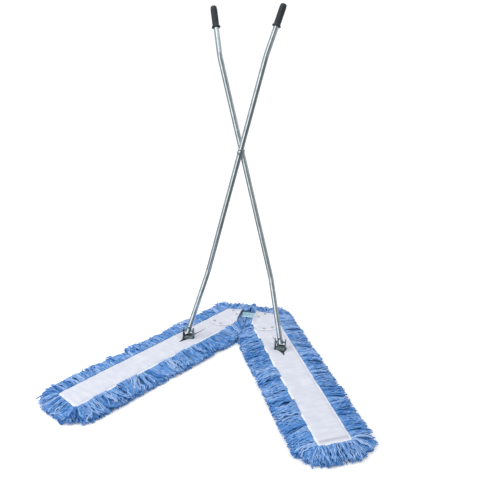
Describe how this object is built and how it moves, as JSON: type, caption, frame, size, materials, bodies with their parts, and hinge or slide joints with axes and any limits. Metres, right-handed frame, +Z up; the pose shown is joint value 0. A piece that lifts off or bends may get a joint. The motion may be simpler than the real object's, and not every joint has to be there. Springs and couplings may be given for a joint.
{
  "type": "dust mop",
  "caption": "V-shaped dust mop: hinged canvas-backed yarn heads swept by bent steel handles that cross and pivot like scissors, with ribbed grips.",
  "frame": {"origin": "on the floor, at the middle of the object's box", "axes": "+Z up, +Y from the mouth of the V towards the hinge, +X to the right seen from the mouth"},
  "size_m": [1.3354, 1.0827, 1.4426],
  "materials": {
    "zinc_steel": "zinc-plated pressed steel",
    "chrome_tube": "bright-plated steel tube",
    "black_grip": "ribbed moulded grip",
    "black_nylon": "moulded nylon",
    "white_canvas": "plain-woven white canvas",
    "stud_steel": "pressed snap stud",
    "blue_yarn": "twisted blue mop yarn"
  },
  "bodies": {
    "hinge": {"hinge_link": "zinc_steel", "hinge_pins": "zinc_steel"},
    "left_arm": {"left_frame": "zinc_steel", "left_tongue": "zinc_steel", "left_bridge": "zinc_steel", "left_cross_bar": "zinc_steel", "left_pocket": "white_canvas", "left_flap": "white_canvas", "left_studs": "stud_steel", "left_pile": "blue_yarn", "left_fringe": "blue_yarn"},
    "left_foot": {"left_clevis": "zinc_steel", "left_lean_pin": "zinc_steel", "left_swivel_rivet": "zinc_steel"},
    "left_block": {"left_knuckle": "zinc_steel"},
    "right_arm": {"right_frame": "zinc_steel", "right_tongue": "zinc_steel", "right_bridge": "zinc_steel", "right_cross_bar": "zinc_steel", "right_pocket": "white_canvas", "right_flap": "white_canvas", "right_studs": "stud_steel", "right_pile": "blue_yarn", "right_fringe": "blue_yarn"},
    "right_foot": {"right_clevis": "zinc_steel", "right_lean_pin": "zinc_steel", "right_swivel_rivet": "zinc_steel"},
    "right_block": {"right_knuckle": "zinc_steel"},
    "left_stick": {"left_handle": "chrome_tube", "left_grip": "black_grip", "left_tilt_rivet": "zinc_steel", "left_saddles": "black_nylon", "pivot_bolt": "zinc_steel", "pivot_nut": "zinc_steel"},
    "right_stick": {"right_handle": "chrome_tube", "right_grip": "black_grip", "right_tilt_rivet": "zinc_steel", "right_saddles": "black_nylon"}
  },
  "joints": [
    {"name": "left_fold", "type": "hinge", "parent": "hinge", "child": "left_arm", "pos_m": [-0.056, 0.41341, 0.024], "axis": [0, 0, -1], "range_deg": [-5, 16]},
    {"name": "right_fold", "type": "hinge", "parent": "hinge", "child": "right_arm", "pos_m": [0.056, 0.41341, 0.024], "axis": [0, 0, 1], "range_deg": [-5, 16]},
    {"name": "left_swivel", "type": "hinge", "parent": "left_arm", "child": "left_foot", "pos_m": [-0.21065, 0.13441, 0.07], "axis": [0, 0, -1], "range_deg": [-16, 5]},
    {"name": "right_swivel", "type": "hinge", "parent": "right_arm", "child": "right_foot", "pos_m": [0.21065, 0.13441, 0.07], "axis": [0, 0, 1], "range_deg": [-16, 5]},
    {"name": "lean", "type": "hinge", "parent": "left_foot", "child": "left_block", "pos_m": [-0.21065, 0.13441, 0.07], "axis": [-1, 0, 0], "range_deg": [-60, 60]},
    {"name": "left_tilt", "type": "hinge", "parent": "left_block", "child": "left_stick", "pos_m": [-0.20676, 0.14048, 0.08428], "axis": [0, 0.9938, -0.1115], "range_deg": [-1.67, 5.35]},
    {"name": "scissor", "type": "hinge", "parent": "left_stick", "child": "right_stick", "pos_m": [0, 0.30547, 0.86051], "axis": [0, -0.9938, 0.1115], "range_deg": [-3.34, 10.7]},
    {"name": "right_tilt", "type": "hinge", "parent": "right_stick", "child": "right_block", "pos_m": [0.2068, 0.14094, 0.08409], "axis": [0, 0.9938, -0.1115], "range_deg": [-1.67, 5.35]}
  ],
  "couplings": [
    {"joint": "right_fold", "follows": "left_fold", "ratio": 1},
    {"joint": "left_swivel", "follows": "left_fold", "ratio": -1},
    {"joint": "right_swivel", "follows": "left_fold", "ratio": -1},
    {"joint": "left_tilt", "follows": "left_fold", "ratio": 0.33425},
    {"joint": "scissor", "follows": "left_fold", "ratio": 0.66849},
    {"joint": "right_tilt", "follows": "left_fold", "ratio": 0.33425}
  ]
}
